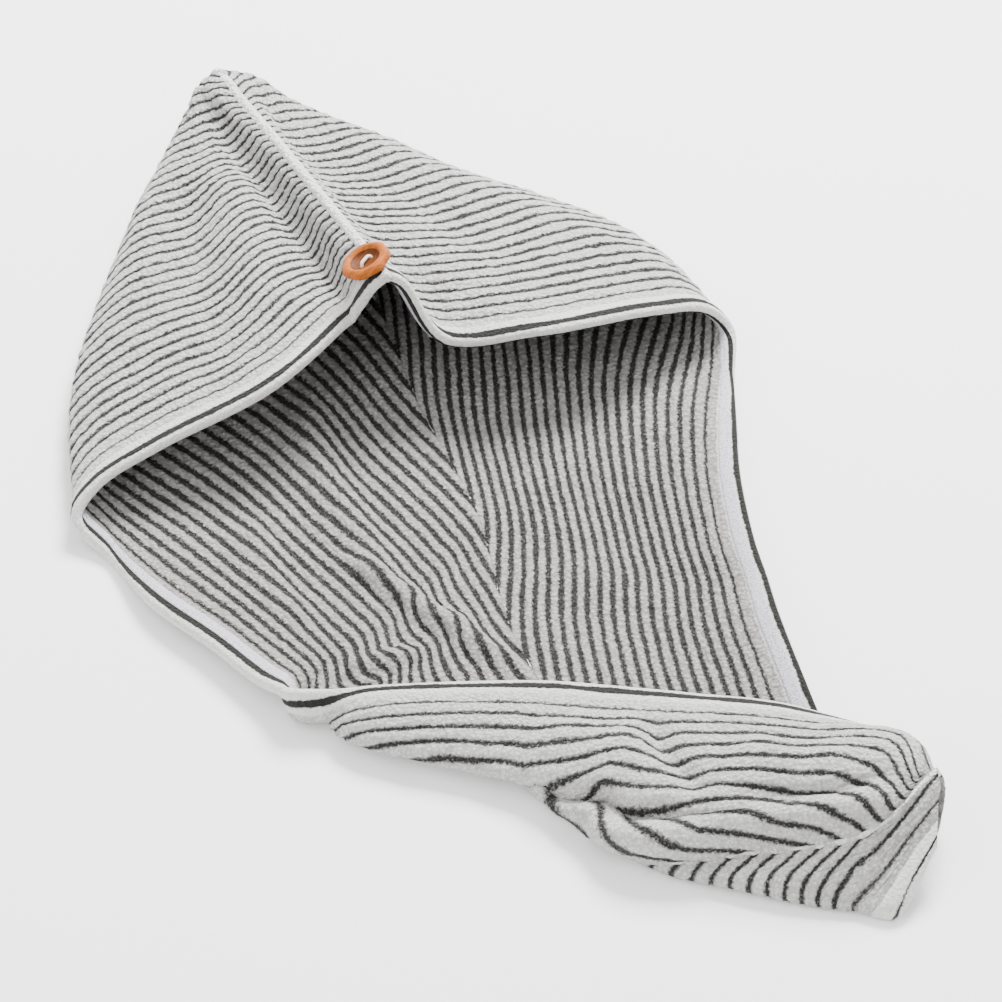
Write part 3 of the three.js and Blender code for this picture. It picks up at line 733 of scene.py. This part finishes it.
def pile_finish(name, pale, dark, pitch, line_share, raggedness, nub, fleck_and_shade_share):
    """Looped pile with dark stripes woven in, in rows parallel to the hem."""
    finish = Finish(name)
    away = from_hem(finish)
    coarse = finish.noise(COARSE, 2.0)
    fine = finish.noise(FINE, 2.0)
    ragged = (coarse * 0.55 + fine * 0.45 - 0.5) * raggedness
    sway = (finish.noise(SWAYING, 1.0) - 0.5) * SWAY
    phase = ((away + ragged + sway - HEM_BAND) / pitch).fraction()
    from_line = abs(phase - 0.5)
    weight = finish.noise(WEIGHT, 2.0)
    first = (away - HEM_BAND).smooth(0.004, 0.011)
    half_line = line_share * (0.5 + 0.9 * weight) * (0.6 + 0.4 * first)
    line = 1 - (from_line - half_line).smooth(-SOFT_EDGE, SOFT_EDGE)
    line = line * (away - HEM_BAND).smooth(-0.0004, 0.0006)
    loops, fuzz, flecks, painted_loop_shade = pile_grain(finish, nub)
    wash = finish.noise(14.0, 2.0)
    # Painted shade: the pale pile is darkened between its loops
    shade = finish.mix(painted_loop_shade * fleck_and_shade_share, opaque(pale), opaque(pale, 0.55))
    shade = finish.mix(flecks * fleck_and_shade_share, shade, opaque(pale, 0.5))
    shade = finish.mix(wash * 0.2, shade, opaque(pale, 0.86))
    stray = (fuzz * 0.5 + fine * 0.5).smooth(0.54, 0.66)
    lines = finish.mix(stray * 0.7, opaque(dark), opaque(pale, 0.6))
    height = (1 - loops) * 0.7 + fuzz * 0.35 + (1 - line) * 0.8
    return finish.surface(finish.mix(line, shade, lines), height, 0.0028, **PILE_SURFACE)


# Where the hem's dark line starts and ends, how far along the hood's corner is, and how
# much half of the line loses where it is thin
HEM_LINE = (0.0020, 0.0056)
HOOD_CORNER = (0.15, 0.2)
THINNER = 0.0013


def hem_finish(name, pale, dark, thin_after, moved_in):
    """The pile at the hem: a pale edge, one dark line and a pale band. The line is thin
    further along the hem than thin_after, and moved_in further from the edge past the
    hood's corner."""
    finish = Finish(name)
    forward = from_hem(finish, "X")
    away = from_hem(finish) - forward.smooth(*HOOD_CORNER) * moved_in
    ragged = (finish.noise(COARSE, 2.0) * 0.5 + finish.noise(FINE, 2.0) * 0.5 - 0.5) * 0.0024
    thin = forward.smooth(thin_after, thin_after + 0.02) * THINNER
    weight = (finish.noise(WEIGHT, 2.0) - 0.5) * 0.0022 - thin
    middle, half = sum(HEM_LINE) / 2, (HEM_LINE[1] - HEM_LINE[0]) / 2
    line = 1 - (abs(away + ragged - middle) - half - weight).smooth(-0.0003, 0.0004)
    loops, fuzz, flecks, painted_loop_shade = pile_grain(finish, LOOPS)
    # Painted shade: the pale pile is darkened between its loops
    shade = finish.mix(painted_loop_shade * 0.3, opaque(pale), opaque(pale, 0.6))
    shade = finish.mix(flecks * 0.25, shade, opaque(pale, 0.55))
    height = (1 - loops) * 0.6 + fuzz * 0.4 + (1 - line) * 0.6
    return finish.surface(finish.mix(line, shade, opaque(dark)), height, 0.0018, **PILE_SURFACE)


def tape_finish(pale):
    """Woven tape with fine grey flecks."""
    finish = Finish("flecked_tape")
    flecks = finish.noise(1300.0, 3.0, roughness=0.7).smooth(0.48, 0.6)
    weave = finish.cells(1300.0)
    shade = finish.mix(flecks * 0.8, opaque(pale), opaque(pale, 0.42))
    return finish.surface(shade, weave, 0.0002, Roughness=0.9, Specular_IOR_Level=0.2)


def plain_pile(pale):
    """Pale pile with no stripes, for the seam."""
    finish = Finish("seam_pile")
    loops = finish.cells(LOOPS)
    # Painted shade: the pale pile is darkened between its loops
    shade = finish.mix(loops.smooth(0.2, 0.8) * 0.5, opaque(pale), opaque(pale, 0.6))
    return finish.surface(shade, 1 - loops, 0.0016, Roughness=0.95, Specular_IOR_Level=0.15)


def button_finish(name, base):
    """Warm turned button with a faint grain."""
    finish = Finish(name)
    turn = finish.node("ShaderNodeMapping", None, finish.places(), Scale=(1.0, 4.0, 1.0))
    grain = finish.noise(300.0, 4.0, where=finish.wire(turn))
    light = [min(1.0, c * 1.15 + 0.01) for c in base]
    shade = finish.mix(grain.smooth(0.35, 0.7), opaque(light), opaque(base, 0.75))
    return finish.surface(shade, grain, 0.00008, Roughness=0.5, Specular_IOR_Level=0.1)


def yarn_finish(name, base):
    """Twisted thread or cord."""
    finish = Finish(name)
    strands = finish.noise(2200.0, 2.0)
    shade = finish.mix(strands * 0.5, opaque(base), opaque(base, 0.7))
    return finish.surface(shade, strands, 0.0002, Roughness=0.8)


def set_solidify(piece, thickness):
    """Gives a sheet its wall, half on each side, with the inner face's own finish."""
    wall = piece.modifiers.new("wall", "SOLIDIFY")
    wall.thickness = thickness
    wall.offset = 0
    wall.material_offset = 1
    wall.use_rim = True
    wall.vertex_group = "pile"


# Shares of the pile's usual wall: how uneven it is, its dip at a dark line, and its
# least, mean and most. A line's dip is a share of the stripes' pitch wide
UNEVEN = 0.11
LINE_DIP = 0.3
DIP_WIDTH = 0.24
LEAST_PILE = 0.4
MEAN_PILE = 0.95
MOST_PILE = 1.15


def pile_depth(cloth, pitch, seed):
    """Share of the full wall that the pile has: it dips at the dark lines and is uneven."""
    uneven = np.random.default_rng(seed).normal(0, UNEVEN, cloth.shape[:2])
    uneven = (uneven + np.roll(uneven, 1, axis=1) + np.roll(uneven, -1, axis=1)) * 0.55
    phase = (cloth[:, :, 1] - HEM_BAND) / pitch
    from_line = np.abs(phase - np.floor(phase) - 0.5) / DIP_WIDTH
    dip = LINE_DIP * np.exp(-(from_line**2)) * (cloth[:, :, 1] > HEM_BAND)
    return np.clip(MEAN_PILE + uneven - dip, LEAST_PILE, MOST_PILE) / MOST_PILE


class TOWEL_OT_cloth(bpy.types.Operator):
    """Make the two halves of striped cloth"""

    bl_idname = "towel.cloth"
    bl_label = "Striped cloth"

    COLUMNS = 180
    UNDER_HEM = 0.002
    # How wide a dark line is as a share of the pitch, how far its edges stray in metres,
    # loops in a metre, and how strongly the pile is flecked and has painted shade between loops
    OUTER_LOOK = (0.15, 0.0030, 560.0, 0.7)
    INNER_LOOK = (0.21, 0.0040, 480.0, 0.8)

    def execute(self, context):
        sizes, colours = chosen(context)
        pitch = sizes.stripe_pitch
        outside = pile_finish("pile_outside", colours.pile, colours.stripe, pitch, *self.OUTER_LOOK)
        inside = pile_finish("pile_inside", colours.pile_inside, colours.stripe, pitch, *self.INNER_LOOK)
        shares = rib_shares()
        start = sizes.hem_width - self.UNDER_HEM
        for side, word in HALVES:
            half = Half(side, 0)
            points, _, cloth = half.grid(shares, lambda length: np.linspace(start, length, self.COLUMNS))
            depth = pile_depth(cloth, pitch, seed=3 + side)
            piece = grid_mesh(f"cloth_{word}", points, cloth, flip=side == LEFT, depth=depth)
            paint(piece, outside, inside)
            set_solidify(piece, sizes.cloth_thickness)
            dress(piece, "pile_cloth", f"panel_{word}")
        return {"FINISHED"}


class TOWEL_OT_hems(bpy.types.Operator):
    """Make the stitched hems and the tape inside them"""

    bl_idname = "towel.hems"
    bl_label = "Hems and tape"

    # Where the hem starts, and the tape's first and last ribs and its distance from the edge
    EDGE = -0.0006
    FIRST_TAPE_RIB = 1
    LAST_TAPE_RIB = {LEFT: 11.2, RIGHT: 14.4}
    TAPE_START = {LEFT: 0.0062, RIGHT: 0.0034}
    # How far along the dark line gets thin, how far it moves in past the hood's corner, and
    # how much nearer to the edge it is on the inner face
    THIN_LINE_AFTER = {LEFT: 0.7, RIGHT: 0.5}
    LINE_MOVES_IN = {LEFT: 0.0018, RIGHT: 0}
    INNER_SLIP = {LEFT: 0.001, RIGHT: 0.003}
    TAPE_THICKNESS = 0.001
    TAPE_SINKS = 0.0001

    def execute(self, context):
        sizes, colours = chosen(context)
        tape = tape_finish(colours.tape)
        for side, word in HALVES:
            half = Half(side, 0)
            wide, thick = sizes.hem_width, sizes.hem_thickness
            rings, cloth = strip_grid(half, rib_shares(), self.EDGE, wide, thick, 0, self.INNER_SLIP[side])
            hem = grid_mesh(f"hem_edge_{word}", rings, cloth, closed=True, capped=True)
            look = (self.THIN_LINE_AFTER[side], self.LINE_MOVES_IN[side])
            paint(hem, hem_finish(f"hem_pile_{word}", colours.pile, colours.stripe, *look))
            dress(hem, "hem_cloth", f"hem_{word}")
            shares = rib_shares(self.FIRST_TAPE_RIB, self.LAST_TAPE_RIB[side])
            below = self.TAPE_SINKS - thick / 2
            start = self.TAPE_START[side]
            end = start + sizes.tape_width
            rings, cloth = strip_grid(half, shares, start, end, self.TAPE_THICKNESS, below)
            strip = grid_mesh(f"tape_{word}", rings, cloth, closed=True, capped=True)
            paint(strip, tape)
            dress(strip, "tape", f"hem_tape_{word}")
        return {"FINISHED"}


class TOWEL_OT_seam(bpy.types.Operator):
    """Make the seam that joins the two halves"""

    bl_idname = "towel.seam"
    bl_label = "Crown seam"

    STEPS = 60
    SIDES = 12
    # The seam's radius as a share of the cloth's thickness, at ribs along the seam
    RADIUS_SHARES = {0: 0.52, 4: 0.52, 7: 0.27, 13: 0.27, 15: 0.4}

    def execute(self, context):
        sizes, colours = chosen(context)
        shares = rib_shares()
        halves = [Half(side, GAP) for side in (LEFT, RIGHT)]
        grids = [half.grid(shares, lambda length: np.linspace(0, length, self.STEPS)) for half in halves]
        (left, left_normals, _), (right, right_normals, _) = grids
        end = self.STEPS - 1
        line = [(0, j) for j in range(self.STEPS)] + [(i, end) for i in range(1, len(shares))]
        angles = [2 * math.pi * n / self.SIDES for n in range(self.SIDES + 1)]
        rings = []
        for spot in line:
            middle = (left[spot] + right[spot]) / 2
            across = Vector(right[spot] - left[spot]).normalized()
            up = Vector(left_normals[spot] + right_normals[spot])
            up = (up - across * up.dot(across)).normalized()
            share = between(self.RADIUS_SHARES, shares[spot[0]] * LAST_RIB)
            radius = float(sizes.cloth_thickness * share)
            ring = [Vector(middle) + radius * (math.cos(a) * across + math.sin(a) * up) for a in angles]
            rings.append([(p.x, p.y, max(p.z, 0)) for p in ring])
        seam = grid_mesh("seam_ridge", np.array(rings), closed=True, capped=True)
        paint(seam, plain_pile(colours.pile))
        dress(seam, "seam", "crown_seam")
        return {"FINISHED"}


# The button: points on the crest, how far it is from the hem along the crest, the way it
# faces, how far it has slipped off the crest, its turn, and its holes
CREST_SAMPLES = 201
BUTTON_SETBACK = 0.011
BUTTON_LEAN = Vector((-0.38, 0.18, 0.905)).normalized()
BUTTON_SLIP = Vector((-0.0033, 0.0012, -0.0013))
BUTTON_TURN = 0.5
BUTTON_THICKNESS = 0.0045
HOLE_SPACING = 0.006
HOLE_RADIUS = 0.0013

# The button's section, from the middle of its back round the rim to the middle of its
# dish, as shares of its radius and of half its thickness
BUTTON_SECTION = (
    (0, -1), (0.78, -1), (0.94, -0.6), (1, 0), (0.97, 0.55), (0.88, 0.92), (0.78, 1.1),
    (0.68, 1), (0.6, 0.5), (0.54, 0), (0, 0),
)


def button_place():
    """Middle of the button, on the ridge's crest."""
    crest = spline(rib_points(LEFT, "ridge"), np.linspace(0, 1, CREST_SAMPLES))
    point = along(crest, arc_lengths(crest), BUTTON_SETBACK)
    lift = HEM_WALL / 2 + 2 * GAP + BUTTON_THICKNESS / 2
    return Vector(point) + Vector(SHIFT) + BUTTON_LEAN * lift + BUTTON_SLIP


def button_matrix():
    """Turns and moves the button from the origin to its place."""
    upright = Vector((0, 0, 1)).rotation_difference(BUTTON_LEAN).to_matrix().to_4x4()
    return Matrix.Translation(button_place()) @ upright @ Matrix.Rotation(BUTTON_TURN, 4, "Z")


class TOWEL_OT_button(bpy.types.Operator):
    """Make the button with its thread"""

    bl_idname = "towel.button"
    bl_label = "Button"

    NOTCHES = 7
    SIDES = 64
    # Shares of the radius: where the notched rim starts, its waves and how much it is trimmed
    RIM_START = 0.72
    NOTCH_DEPTH = 0.035
    RIM_TRIM = 0.03
    # The dish: faces nearer to the middle than a share of the radius, and not too low, and the
    # share of the button's colour that the dish keeps as painted shade
    DISH_SHARE = 0.62
    DISH_FLOOR = -0.3
    DISH_SHADE = 0.3
    DRILL_SIDES = 24
    DRILL_LENGTH = 0.02
    THREAD_RADIUS = 0.0008
    # The thread's route from its hole to the middle: x as a share of the hole's and height
    THREAD_ROUTE = ((-1, -0.0015), (-1, -0.0003), (-0.7, 0.0009), (0, 0.0011))
    THREAD_STEPS = 30

    def execute(self, context):
        sizes, colours = chosen(context)
        radius, half = sizes.button_diameter / 2, BUTTON_THICKNESS / 2
        bm = bmesh.new()
        corners = [bm.verts.new((x * radius, 0, z * half)) for x, z in BUTTON_SECTION]
        edges = [bm.edges.new(pair) for pair in zip(corners, corners[1:])]
        turn = {"axis": (0, 0, 1), "cent": (0, 0, 0), "steps": self.SIDES, "angle": 2 * math.pi}
        bmesh.ops.spin(bm, geom=corners + edges, use_merge=True, **turn)
        bmesh.ops.remove_doubles(bm, verts=bm.verts, dist=1e-6)
        bmesh.ops.recalc_face_normals(bm, faces=bm.faces)
        for vertex in bm.verts:
            flat = vertex.co.to_2d()
            rim = max(0, (flat.length / radius - self.RIM_START) / (1 - self.RIM_START))
            wave = math.cos(self.NOTCHES * math.atan2(flat.y, flat.x))
            notch = 1 + rim * (self.NOTCH_DEPTH * wave - self.RIM_TRIM)
            vertex.co.x, vertex.co.y = vertex.co.x * notch, vertex.co.y * notch
        button = mesh_object("button_disc", bm)
        for side in (LEFT, RIGHT):
            self.drill(context, button, side * HOLE_SPACING / 2)
        dish = [
            face.center.to_2d().length < radius * self.DISH_SHARE and face.center.z > half * self.DISH_FLOOR
            for face in button.data.polygons
        ]
        button.data.transform(button_matrix())
        button.data.materials.clear()
        # Painted shade: the dish is the button's colour darkened, as if in the shade of its rim
        painted_dish_shade = [c * self.DISH_SHADE for c in colours.button]
        paint(button, button_finish("turned_button", colours.button), button_finish("button_recess", painted_dish_shade))
        for face, in_dish in zip(button.data.polygons, dish):
            face.material_index = int(in_dish)
        dress(button, "button", "button")
        self.thread(colours)
        return {"FINISHED"}

    def drill(self, context, button, x):
        """Cuts one hole through the button."""
        bm = bmesh.new()
        round_size = {"radius1": HOLE_RADIUS, "radius2": HOLE_RADIUS, "depth": self.DRILL_LENGTH}
        bmesh.ops.create_cone(bm, cap_ends=True, segments=self.DRILL_SIDES, **round_size)
        bmesh.ops.translate(bm, verts=bm.verts, vec=(x, 0, 0))
        cutter = mesh_object("drill", bm)
        cut = button.modifiers.new("hole", "BOOLEAN")
        cut.operation = "DIFFERENCE"
        cut.object = cutter
        context.view_layer.update()
        evaluated = button.evaluated_get(context.evaluated_depsgraph_get())
        finished = bpy.data.meshes.new_from_object(evaluated)
        button.modifiers.clear()
        button.data = finished
        bpy.data.objects.remove(cutter)

    def thread(self, colours):
        """Thread that comes up through one hole and goes down the other."""
        route = [(share * HOLE_SPACING / 2, height) for share, height in self.THREAD_ROUTE]
        route += [(-a, b) for a, b in reversed(route[:-1])]
        path = spline([(a, 0, b) for a, b in route], np.linspace(0, 1, self.THREAD_STEPS))
        matrix = button_matrix()
        turned = [matrix @ Vector(p) - Vector(SHIFT) for p in path]
        side = matrix.to_3x3() @ Vector((0, 1, 0))
        rings = tube_rings(turned, self.THREAD_RADIUS, up=side)
        piece = grid_mesh("button_stitch", rings, closed=True, capped=True)
        paint(piece, yarn_finish("sewing_thread", colours.thread))
        dress(piece, "thread", "button_thread")


class TOWEL_OT_loop(bpy.types.Operator):
    """Make the cord loop that goes over the button"""

    bl_idname = "towel.loop"
    bl_label = "Fastening loop"

    CORD = 0.0024
    BEND_RADIUS = 0.0053
    # How far each round end is moved out, and how sharply the moves change sides
    RUN = 0.0105
    SHARPNESS = 8
    TURN = -0.65
    STEPS = 48

    def execute(self, context):
        low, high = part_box("fastening_loop")
        centre = (low + high) / 2
        path = []
        for k in range(self.STEPS):
            angle = 2 * math.pi * k / self.STEPS
            point = self.BEND_RADIUS * Vector((math.cos(angle), math.sin(angle), 0))
            out = min(1, abs(math.cos(angle)) * self.SHARPNESS)
            point.x += math.copysign(out, math.cos(angle)) * self.RUN
            path.append(Matrix.Rotation(self.TURN, 3, "Z") @ point + centre - Vector(SHIFT))
        rings = tube_rings(path + path[:1], self.CORD / 2)
        piece = grid_mesh("cord_loop", rings, closed=True)
        paint(piece, yarn_finish("elastic_cord", context.scene.towel_colours.cord))
        dress(piece, "cord", "fastening_loop")
        return {"FINISHED"}


class TOWEL_OT_stage(bpy.types.Operator):
    """Make the floor, the lights and the camera"""

    bl_idname = "towel.stage"
    bl_label = "Stage"

    WORLD_STRENGTH = 1.55
    FLOOR_GLOW = 0.3
    FLOOR_SIZE = 6
    # Place, size and power of each lamp
    LAMPS = {"key": ((0.9, 1.1, 1.6), 0.9, 165), "fill": ((-1.4, -0.7, 1.6), 1.6, 16)}
    CLIP_START = 0.1

    def execute(self, context):
        scene = context.scene
        bm = bmesh.new()
        bmesh.ops.create_grid(bm, x_segments=1, y_segments=1, size=self.FLOOR_SIZE)
        floor = mesh_object("floor", bm)
        look = {"Roughness": 0.9, "Specular_IOR_Level": 0.1, "Emission_Strength": self.FLOOR_GLOW}
        paint(floor, Finish("paper").surface((0.9, 0.9, 0.9, 1), Emission_Color=(1, 1, 1, 1), **look))
        world = bpy.data.worlds.new("studio")
        world.use_nodes = True
        background = world.node_tree.nodes["Background"]
        background.inputs["Color"].default_value = (1, 1, 1, 1)
        background.inputs["Strength"].default_value = self.WORLD_STRENGTH
        scene.world = world
        for name, look in self.LAMPS.items():
            self.light(name, *look)
        self.camera(scene)
        return {"FINISHED"}

    def light(self, name, spot, size, power):
        lamp = bpy.data.lights.new(name, "AREA")
        lamp.size, lamp.energy = size, power
        stand(name, lamp, spot, -Vector(spot))

    def camera(self, scene):
        azimuth, elevation = math.radians(VIEW_AZIMUTH), math.radians(VIEW_ELEVATION)
        level = math.cos(elevation)
        back = Vector((math.sin(azimuth) * level, -math.cos(azimuth) * level, math.sin(elevation)))
        lens = bpy.data.cameras.new("camera")
        lens.lens, lens.sensor_width = LENS, SENSOR
        distance = VIEW_WIDTH * LENS / SENSOR
        lens.clip_start, lens.clip_end = self.CLIP_START, 2 * distance
        spot = Vector(VIEW_CENTRE) + Vector(SHIFT) + back * distance
        scene.camera = stand("camera", lens, spot, -back)


class TOWEL_PT_panel(bpy.types.Panel):
    """Lists the towel's sizes, colours and pieces"""

    bl_idname = "TOWEL_PT_panel"
    bl_label = "Hair turban towel"
    bl_space_type = "VIEW_3D"
    bl_region_type = "UI"
    bl_category = "Towel"

    def draw(self, context):
        for group in chosen(context):
            for name in group.bl_rna.properties.keys():
                if name not in ("name", "rna_type"):
                    self.layout.prop(group, name)
        for operator in OPERATORS:
            self.layout.operator(operator.bl_idname)


OPERATORS = (TOWEL_OT_stage, TOWEL_OT_cloth, TOWEL_OT_hems, TOWEL_OT_seam, TOWEL_OT_button, TOWEL_OT_loop)
CLASSES = (TowelSizes, TowelColours, *OPERATORS, TOWEL_PT_panel)


def register():
    for cls in CLASSES:
        bpy.utils.register_class(cls)
    bpy.types.Scene.towel_sizes = PointerProperty(type=TowelSizes)
    bpy.types.Scene.towel_colours = PointerProperty(type=TowelColours)


def unregister():
    del bpy.types.Scene.towel_colours
    del bpy.types.Scene.towel_sizes
    for cls in reversed(CLASSES):
        bpy.utils.unregister_class(cls)


def main():
    """Makes the stage and every piece."""
    register()
    bpy.ops.towel.stage()
    bpy.ops.towel.cloth()
    bpy.ops.towel.hems()
    bpy.ops.towel.seam()
    bpy.ops.towel.button()
    bpy.ops.towel.loop()


if __name__ == "__main__":
    main()
